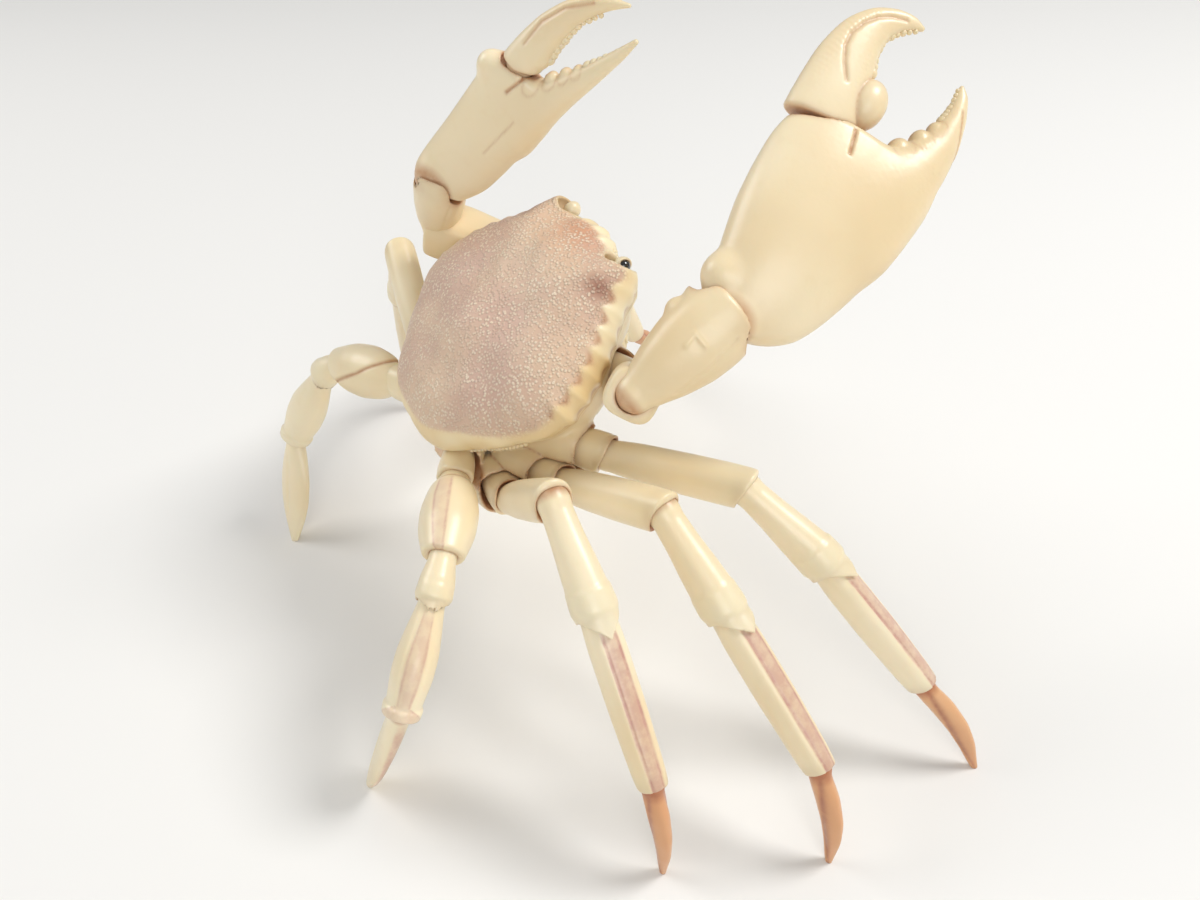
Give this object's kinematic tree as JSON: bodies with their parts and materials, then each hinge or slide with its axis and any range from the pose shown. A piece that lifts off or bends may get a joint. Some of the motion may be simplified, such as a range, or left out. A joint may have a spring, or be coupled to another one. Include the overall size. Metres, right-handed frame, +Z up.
{
  "type": "crab figurine",
  "caption": "Jointed crab ornament rearing up on its leg tips with both claws raised; every limb piece turns on a pinned hinge.",
  "frame": {"origin": "on the ground, straight below the middle of the shell's rim plane; all eight feet stand on Z = 0", "axes": "+Z up; the crab faces -Y; its own right side, with the larger claw, is -X"},
  "size_m": [0.1507, 0.1077, 0.1017],
  "materials": {
    "carved_ivory_tone": "satin",
    "stained_shell": "matt, granulated",
    "stained_tip": "satin",
    "eye_bead": "gloss",
    "hinge_pins": "satin"
  },
  "bodies": {
    "body": {"carapace": "stained_shell", "belly_plate": "carved_ivory_tone", "body_hinge_pins": "hinge_pins"},
    "right_first_leg_hip": {"right_first_leg_hip": "carved_ivory_tone"},
    "right_first_leg_merus": {"right_first_leg_merus": "carved_ivory_tone"},
    "right_first_leg_carpus": {"right_first_leg_carpus": "carved_ivory_tone"},
    "right_first_leg_propodus": {"right_first_leg_propodus": "carved_ivory_tone"},
    "right_first_leg_dactyl": {"right_first_leg_dactyl": "stained_tip"},
    "right_second_leg_hip": {"right_second_leg_hip": "carved_ivory_tone"},
    "right_second_leg_merus": {"right_second_leg_merus": "carved_ivory_tone"},
    "right_second_leg_carpus": {"right_second_leg_carpus": "carved_ivory_tone"},
    "right_second_leg_propodus": {"right_second_leg_propodus": "carved_ivory_tone"},
    "right_second_leg_dactyl": {"right_second_leg_dactyl": "stained_tip"},
    "right_third_leg_hip": {"right_third_leg_hip": "carved_ivory_tone"},
    "right_third_leg_merus": {"right_third_leg_merus": "carved_ivory_tone"},
    "right_third_leg_carpus": {"right_third_leg_carpus": "carved_ivory_tone"},
    "right_third_leg_propodus": {"right_third_leg_propodus": "carved_ivory_tone"},
    "right_third_leg_dactyl": {"right_third_leg_dactyl": "stained_tip"},
    "right_paddle_leg_hip": {"right_paddle_leg_hip": "carved_ivory_tone"},
    "right_paddle_leg_merus": {"right_paddle_leg_merus": "carved_ivory_tone"},
    "right_paddle_leg_carpus": {"right_paddle_leg_carpus": "carved_ivory_tone"},
    "right_paddle_leg_propodus": {"right_paddle_leg_propodus": "carved_ivory_tone"},
    "right_paddle_leg_dactyl": {"right_paddle_leg_dactyl": "carved_ivory_tone"},
    "left_first_leg_hip": {"left_first_leg_hip": "carved_ivory_tone"},
    "left_first_leg_merus": {"left_first_leg_merus": "carved_ivory_tone"},
    "left_first_leg_carpus": {"left_first_leg_carpus": "carved_ivory_tone"},
    "left_first_leg_propodus": {"left_first_leg_propodus": "carved_ivory_tone"},
    "left_first_leg_dactyl": {"left_first_leg_dactyl": "stained_tip"},
    "left_second_leg_hip": {"left_second_leg_hip": "carved_ivory_tone"},
    "left_second_leg_merus": {"left_second_leg_merus": "carved_ivory_tone"},
    "left_second_leg_carpus": {"left_second_leg_carpus": "carved_ivory_tone"},
    "left_second_leg_propodus": {"left_second_leg_propodus": "carved_ivory_tone"},
    "left_second_leg_dactyl": {"left_second_leg_dactyl": "stained_tip"},
    "left_third_leg_hip": {"left_third_leg_hip": "carved_ivory_tone"},
    "left_third_leg_merus": {"left_third_leg_merus": "carved_ivory_tone"},
    "left_third_leg_carpus": {"left_third_leg_carpus": "carved_ivory_tone"},
    "left_third_leg_propodus": {"left_third_leg_propodus": "carved_ivory_tone"},
    "left_third_leg_dactyl": {"left_third_leg_dactyl": "stained_tip"},
    "left_paddle_leg_hip": {"left_paddle_leg_hip": "carved_ivory_tone"},
    "left_paddle_leg_merus": {"left_paddle_leg_merus": "carved_ivory_tone"},
    "left_paddle_leg_carpus": {"left_paddle_leg_carpus": "carved_ivory_tone"},
    "left_paddle_leg_propodus": {"left_paddle_leg_propodus": "carved_ivory_tone"},
    "left_paddle_leg_dactyl": {"left_paddle_leg_dactyl": "carved_ivory_tone"},
    "right_claw_hip": {"right_claw_hip": "carved_ivory_tone"},
    "right_claw_merus": {"right_claw_merus": "carved_ivory_tone"},
    "right_claw_carpus": {"right_claw_carpus": "carved_ivory_tone"},
    "right_claw_palm": {"right_claw_palm": "carved_ivory_tone"},
    "right_claw_finger": {"right_claw_finger": "carved_ivory_tone"},
    "left_claw_hip": {"left_claw_hip": "carved_ivory_tone"},
    "left_claw_merus": {"left_claw_merus": "carved_ivory_tone"},
    "left_claw_carpus": {"left_claw_carpus": "carved_ivory_tone"},
    "left_claw_palm": {"left_claw_palm": "carved_ivory_tone"},
    "left_claw_finger": {"left_claw_finger": "carved_ivory_tone"},
    "tail_flap": {"tail_flap": "carved_ivory_tone"},
    "right_mouth_plate": {"right_mouth_plate": "carved_ivory_tone"},
    "right_eye": {"right_eyestalk": "carved_ivory_tone", "right_eye_bead": "eye_bead"},
    "left_mouth_plate": {"left_mouth_plate": "carved_ivory_tone"},
    "left_eye": {"left_eyestalk": "carved_ivory_tone", "left_eye_bead": "eye_bead"}
  },
  "joints": [
    {"name": "right_first_leg_swing", "type": "hinge", "parent": "body", "child": "right_first_leg_hip", "pos_m": [-0.01555, -0.00463, 0.04101], "axis": [-0.0224, 0.0267, 0.9994], "range_deg": [-8, 12]},
    {"name": "right_first_leg_lift", "type": "hinge", "parent": "right_first_leg_hip", "child": "right_first_leg_merus", "pos_m": [-0.02091, -0.00913, 0.04101], "axis": [-0.6424, 0.7656, -0.0349], "range_deg": [-20, 20]},
    {"name": "right_first_leg_knee", "type": "hinge", "parent": "right_first_leg_merus", "child": "right_first_leg_carpus", "pos_m": [-0.03852, -0.02382, 0.04281], "axis": [-0.6424, 0.7656, -0.0349], "range_deg": [-20, 20]},
    {"name": "right_first_leg_wrist", "type": "hinge", "parent": "right_first_leg_carpus", "child": "right_first_leg_propodus", "pos_m": [-0.04779, -0.03203, 0.03349], "axis": [-0.6424, 0.7656, -0.0349], "range_deg": [-20, 3]},
    {"name": "right_first_leg_toe", "type": "hinge", "parent": "right_first_leg_propodus", "child": "right_first_leg_dactyl", "pos_m": [-0.06034, -0.0434, 0.0151], "axis": [-0.6424, 0.7656, -0.0349], "range_deg": [-20, 20]},
    {"name": "right_second_leg_swing", "type": "hinge", "parent": "body", "child": "right_second_leg_hip", "pos_m": [-0.01342, 0.0009, 0.03619], "axis": [0.1132, -0.0011, 0.9936], "range_deg": [-12, 1.5]},
    {"name": "right_second_leg_lift", "type": "hinge", "parent": "right_second_leg_hip", "child": "right_second_leg_merus", "pos_m": [-0.01987, -0.00173, 0.03692], "axis": [-0.3743, 0.9263, 0.0436], "range_deg": [-20, 20]},
    {"name": "right_second_leg_knee", "type": "hinge", "parent": "right_second_leg_merus", "child": "right_second_leg_carpus", "pos_m": [-0.03997, -0.0102, 0.04421], "axis": [-0.3743, 0.9263, 0.0436], "range_deg": [-20, 20]},
    {"name": "right_second_leg_wrist", "type": "hinge", "parent": "right_second_leg_carpus", "child": "right_second_leg_propodus", "pos_m": [-0.05114, -0.01424, 0.03426], "axis": [-0.3743, 0.9263, 0.0436], "range_deg": [-20, 3]},
    {"name": "right_second_leg_toe", "type": "hinge", "parent": "right_second_leg_propodus", "child": "right_second_leg_dactyl", "pos_m": [-0.06885, -0.02062, 0.0178], "axis": [-0.3743, 0.9263, 0.0436], "range_deg": [-20, 20]},
    {"name": "right_third_leg_swing", "type": "hinge", "parent": "body", "child": "right_third_leg_hip", "pos_m": [-0.00986, 0.00668, 0.03238], "axis": [0.207, 0.0199, 0.9781], "range_deg": [-12, 4]},
    {"name": "right_third_leg_lift", "type": "hinge", "parent": "right_third_leg_hip", "child": "right_third_leg_merus", "pos_m": [-0.01668, 0.00602, 0.03384], "axis": [-0.0958, 0.9954, 0], "range_deg": [-20, 20]},
    {"name": "right_third_leg_knee", "type": "hinge", "parent": "right_third_leg_merus", "child": "right_third_leg_carpus", "pos_m": [-0.0352, 0.00424, 0.04736], "axis": [-0.0958, 0.9954, 0], "range_deg": [-20, 20]},
    {"name": "right_third_leg_wrist", "type": "hinge", "parent": "right_third_leg_carpus", "child": "right_third_leg_propodus", "pos_m": [-0.04702, 0.0031, 0.03739], "axis": [-0.0958, 0.9954, 0], "range_deg": [-20, 3]},
    {"name": "right_third_leg_toe", "type": "hinge", "parent": "right_third_leg_propodus", "child": "right_third_leg_dactyl", "pos_m": [-0.06284, 0.00158, 0.0181], "axis": [-0.0958, 0.9954, 0], "range_deg": [-20, 20]},
    {"name": "right_paddle_leg_swing", "type": "hinge", "parent": "body", "child": "right_paddle_leg_hip", "pos_m": [-0.00552, 0.01146, 0.03721], "axis": [-0.1272, -0.3694, 0.9205], "range_deg": [-5, 12]},
    {"name": "right_paddle_leg_lift", "type": "hinge", "parent": "right_paddle_leg_hip", "child": "right_paddle_leg_merus", "pos_m": [-0.01214, 0.01374, 0.03721], "axis": [0.2997, 0.8704, 0.3907], "range_deg": [-20, 20]},
    {"name": "right_paddle_leg_knee", "type": "hinge", "parent": "right_paddle_leg_merus", "child": "right_paddle_leg_carpus", "pos_m": [-0.02761, 0.01942, 0.03642], "axis": [0.2997, 0.8704, 0.3907], "range_deg": [-10, 20]},
    {"name": "right_paddle_leg_wrist", "type": "hinge", "parent": "right_paddle_leg_carpus", "child": "right_paddle_leg_propodus", "pos_m": [-0.0321, 0.02243, 0.03317], "axis": [0.2997, 0.8704, 0.3907], "range_deg": [-10, 5]},
    {"name": "right_paddle_leg_toe", "type": "hinge", "parent": "right_paddle_leg_propodus", "child": "right_paddle_leg_dactyl", "pos_m": [-0.03978, 0.03076, 0.0205], "axis": [0.2997, 0.8704, 0.3907], "range_deg": [-8, 20]},
    {"name": "left_first_leg_swing", "type": "hinge", "parent": "body", "child": "left_first_leg_hip", "pos_m": [0.02165, 0.00202, 0.0494], "axis": [-0.0996, 0.1422, -0.9848], "range_deg": [-10, 12]},
    {"name": "left_first_leg_lift", "type": "hinge", "parent": "left_first_leg_hip", "child": "left_first_leg_merus", "pos_m": [0.0256, -0.00363, 0.04818], "axis": [-0.8192, -0.5736, 0], "range_deg": [-20, 20]},
    {"name": "left_first_leg_knee", "type": "hinge", "parent": "left_first_leg_merus", "child": "left_first_leg_carpus", "pos_m": [0.0385, -0.02206, 0.0434], "axis": [-0.8192, -0.5736, 0], "range_deg": [-20, 20]},
    {"name": "left_first_leg_wrist", "type": "hinge", "parent": "left_first_leg_carpus", "child": "left_first_leg_propodus", "pos_m": [0.0462, -0.03305, 0.03565], "axis": [-0.8192, -0.5736, 0], "range_deg": [-20, 3]},
    {"name": "left_first_leg_toe", "type": "hinge", "parent": "left_first_leg_propodus", "child": "left_first_leg_dactyl", "pos_m": [0.05337, -0.04329, 0.014], "axis": [-0.8192, -0.5736, 0], "range_deg": [-20, 20]},
    {"name": "left_second_leg_swing", "type": "hinge", "parent": "body", "child": "left_second_leg_hip", "pos_m": [0.01743, 0.00541, 0.04371], "axis": [0, 0, -1], "range_deg": [-8, 6]},
    {"name": "left_second_leg_lift", "type": "hinge", "parent": "left_second_leg_hip", "child": "left_second_leg_merus", "pos_m": [0.02416, 0.00348, 0.04371], "axis": [-0.2756, -0.9613, 0], "range_deg": [-20, 20]},
    {"name": "left_second_leg_knee", "type": "hinge", "parent": "left_second_leg_merus", "child": "left_second_leg_carpus", "pos_m": [0.04578, -0.00272, 0.04849], "axis": [-0.2756, -0.9613, 0], "range_deg": [-20, 20]},
    {"name": "left_second_leg_wrist", "type": "hinge", "parent": "left_second_leg_carpus", "child": "left_second_leg_propodus", "pos_m": [0.05686, -0.0059, 0.03812], "axis": [-0.2756, -0.9613, 0], "range_deg": [-20, 3]},
    {"name": "left_second_leg_toe", "type": "hinge", "parent": "left_second_leg_propodus", "child": "left_second_leg_dactyl", "pos_m": [0.07058, -0.00983, 0.0176], "axis": [-0.2756, -0.9613, 0], "range_deg": [-20, 20]},
    {"name": "left_third_leg_swing", "type": "hinge", "parent": "body", "child": "left_third_leg_hip", "pos_m": [0.01357, 0.01076, 0.03786], "axis": [0.2416, -0.0127, -0.9703], "range_deg": [-12, 5]},
    {"name": "left_third_leg_lift", "type": "hinge", "parent": "left_third_leg_hip", "child": "left_third_leg_merus", "pos_m": [0.02035, 0.0104, 0.03955], "axis": [-0.0523, -0.9986, 0], "range_deg": [-20, 20]},
    {"name": "left_third_leg_knee", "type": "hinge", "parent": "left_third_leg_merus", "child": "left_third_leg_carpus", "pos_m": [0.03939, 0.00941, 0.05241], "axis": [-0.0523, -0.9986, 0], "range_deg": [-20, 20]},
    {"name": "left_third_leg_wrist", "type": "hinge", "parent": "left_third_leg_carpus", "child": "left_third_leg_propodus", "pos_m": [0.04805, 0.00895, 0.03956], "axis": [-0.0523, -0.9986, 0], "range_deg": [-20, 3]},
    {"name": "left_third_leg_toe", "type": "hinge", "parent": "left_third_leg_propodus", "child": "left_third_leg_dactyl", "pos_m": [0.06068, 0.00829, 0.018], "axis": [-0.0523, -0.9986, 0], "range_deg": [-20, 20]},
    {"name": "left_paddle_leg_swing", "type": "hinge", "parent": "body", "child": "left_paddle_leg_hip", "pos_m": [0.00723, 0.01343, 0.0416], "axis": [-0.2245, 0.2869, -0.9313], "range_deg": [-4, 5]},
    {"name": "left_paddle_leg_lift", "type": "hinge", "parent": "left_paddle_leg_hip", "child": "left_paddle_leg_merus", "pos_m": [0.01338, 0.01676, 0.04114], "axis": [0.4238, -0.8318, -0.3584], "range_deg": [-20, 20]},
    {"name": "left_paddle_leg_knee", "type": "hinge", "parent": "left_paddle_leg_merus", "child": "left_paddle_leg_carpus", "pos_m": [0.02748, 0.02498, 0.03873], "axis": [0.4238, -0.8318, -0.3584], "range_deg": [-10, 20]},
    {"name": "left_paddle_leg_wrist", "type": "hinge", "parent": "left_paddle_leg_carpus", "child": "left_paddle_leg_propodus", "pos_m": [0.03134, 0.02848, 0.03519], "axis": [0.4238, -0.8318, -0.3584], "range_deg": [-10, 5]},
    {"name": "left_paddle_leg_toe", "type": "hinge", "parent": "left_paddle_leg_propodus", "child": "left_paddle_leg_dactyl", "pos_m": [0.03499, 0.03658, 0.0207], "axis": [0.4238, -0.8318, -0.3584], "range_deg": [-8, 20]},
    {"name": "right_claw_swing", "type": "hinge", "parent": "body", "child": "right_claw_hip", "pos_m": [-0.00886, -0.01384, 0.04908], "axis": [0.1125, -0.7708, -0.6271], "range_deg": [-12, 12]},
    {"name": "right_claw_shoulder", "type": "hinge", "parent": "right_claw_hip", "child": "right_claw_merus", "pos_m": [-0.01613, -0.01553, 0.04984], "axis": [-0.2194, 0.5962, -0.7722], "range_deg": [-20, 12]},
    {"name": "right_claw_elbow", "type": "hinge", "parent": "right_claw_merus", "child": "right_claw_carpus", "pos_m": [-0.03134, -0.00959, 0.05875], "axis": [0.5754, 0.4472, 0.6848], "range_deg": [-20, 10]},
    {"name": "right_claw_wrist", "type": "hinge", "parent": "right_claw_carpus", "child": "right_claw_palm", "pos_m": [-0.03102, -0.02319, 0.06736], "axis": [-0.4716, 0.4637, 0.75], "range_deg": [-20, 15]},
    {"name": "right_claw_finger_hinge", "type": "hinge", "parent": "right_claw_palm", "child": "right_claw_finger", "pos_m": [-0.01986, -0.04365, 0.08703], "axis": [-0.7982, 0.13, 0.5882], "range_deg": [-26, 8]},
    {"name": "left_claw_swing", "type": "hinge", "parent": "body", "child": "left_claw_hip", "pos_m": [0.01284, -0.0105, 0.0533], "axis": [-0.0613, -0.9876, -0.1446], "range_deg": [-12, 1]},
    {"name": "left_claw_shoulder", "type": "hinge", "parent": "left_claw_hip", "child": "left_claw_merus", "pos_m": [0.02, -0.01125, 0.05541], "axis": [-0.2923, -0.1207, 0.9487], "range_deg": [-20, 0.5]},
    {"name": "left_claw_elbow", "type": "hinge", "parent": "left_claw_merus", "child": "left_claw_carpus", "pos_m": [0.02995, 0.00305, 0.0603], "axis": [0.7024, -0.6128, 0.3622], "range_deg": [-20, 10]},
    {"name": "left_claw_wrist", "type": "hinge", "parent": "left_claw_carpus", "child": "left_claw_palm", "pos_m": [0.02345, 0.00264, 0.07224], "axis": [0.8757, -0.0889, 0.4746], "range_deg": [-20, 15]},
    {"name": "left_claw_finger_hinge", "type": "hinge", "parent": "left_claw_palm", "child": "left_claw_finger", "pos_m": [0.01159, -0.00975, 0.09178], "axis": [-0.7194, 0.6946, 0.0043], "range_deg": [-10, 20]},
    {"name": "tail_flap_hinge", "type": "hinge", "parent": "body", "child": "tail_flap", "pos_m": [0.00285, 0.00533, 0.03231], "axis": [-0.9816, -0.1162, -0.1514], "range_deg": [-35, 0]},
    {"name": "right_mouth_plate_hinge", "type": "hinge", "parent": "body", "child": "right_mouth_plate", "pos_m": [-0.00349, -0.01714, 0.04774], "axis": [0, 0.7934, -0.6088], "range_deg": [0, 30]},
    {"name": "right_eyestalk_hinge", "type": "hinge", "parent": "body", "child": "right_eye", "pos_m": [-0.007, -0.01479, 0.06453], "axis": [-0.1908, 0.5976, 0.7788], "range_deg": [-12, 15]},
    {"name": "left_mouth_plate_hinge", "type": "hinge", "parent": "body", "child": "left_mouth_plate", "pos_m": [0.00927, -0.01563, 0.04971], "axis": [0, -0.7934, 0.6088], "range_deg": [0, 30]},
    {"name": "left_eyestalk_hinge", "type": "hinge", "parent": "body", "child": "left_eye", "pos_m": [0.007, -0.01314, 0.06669], "axis": [-0.1908, 0.5976, 0.7788], "range_deg": [-12, 15]}
  ]
}
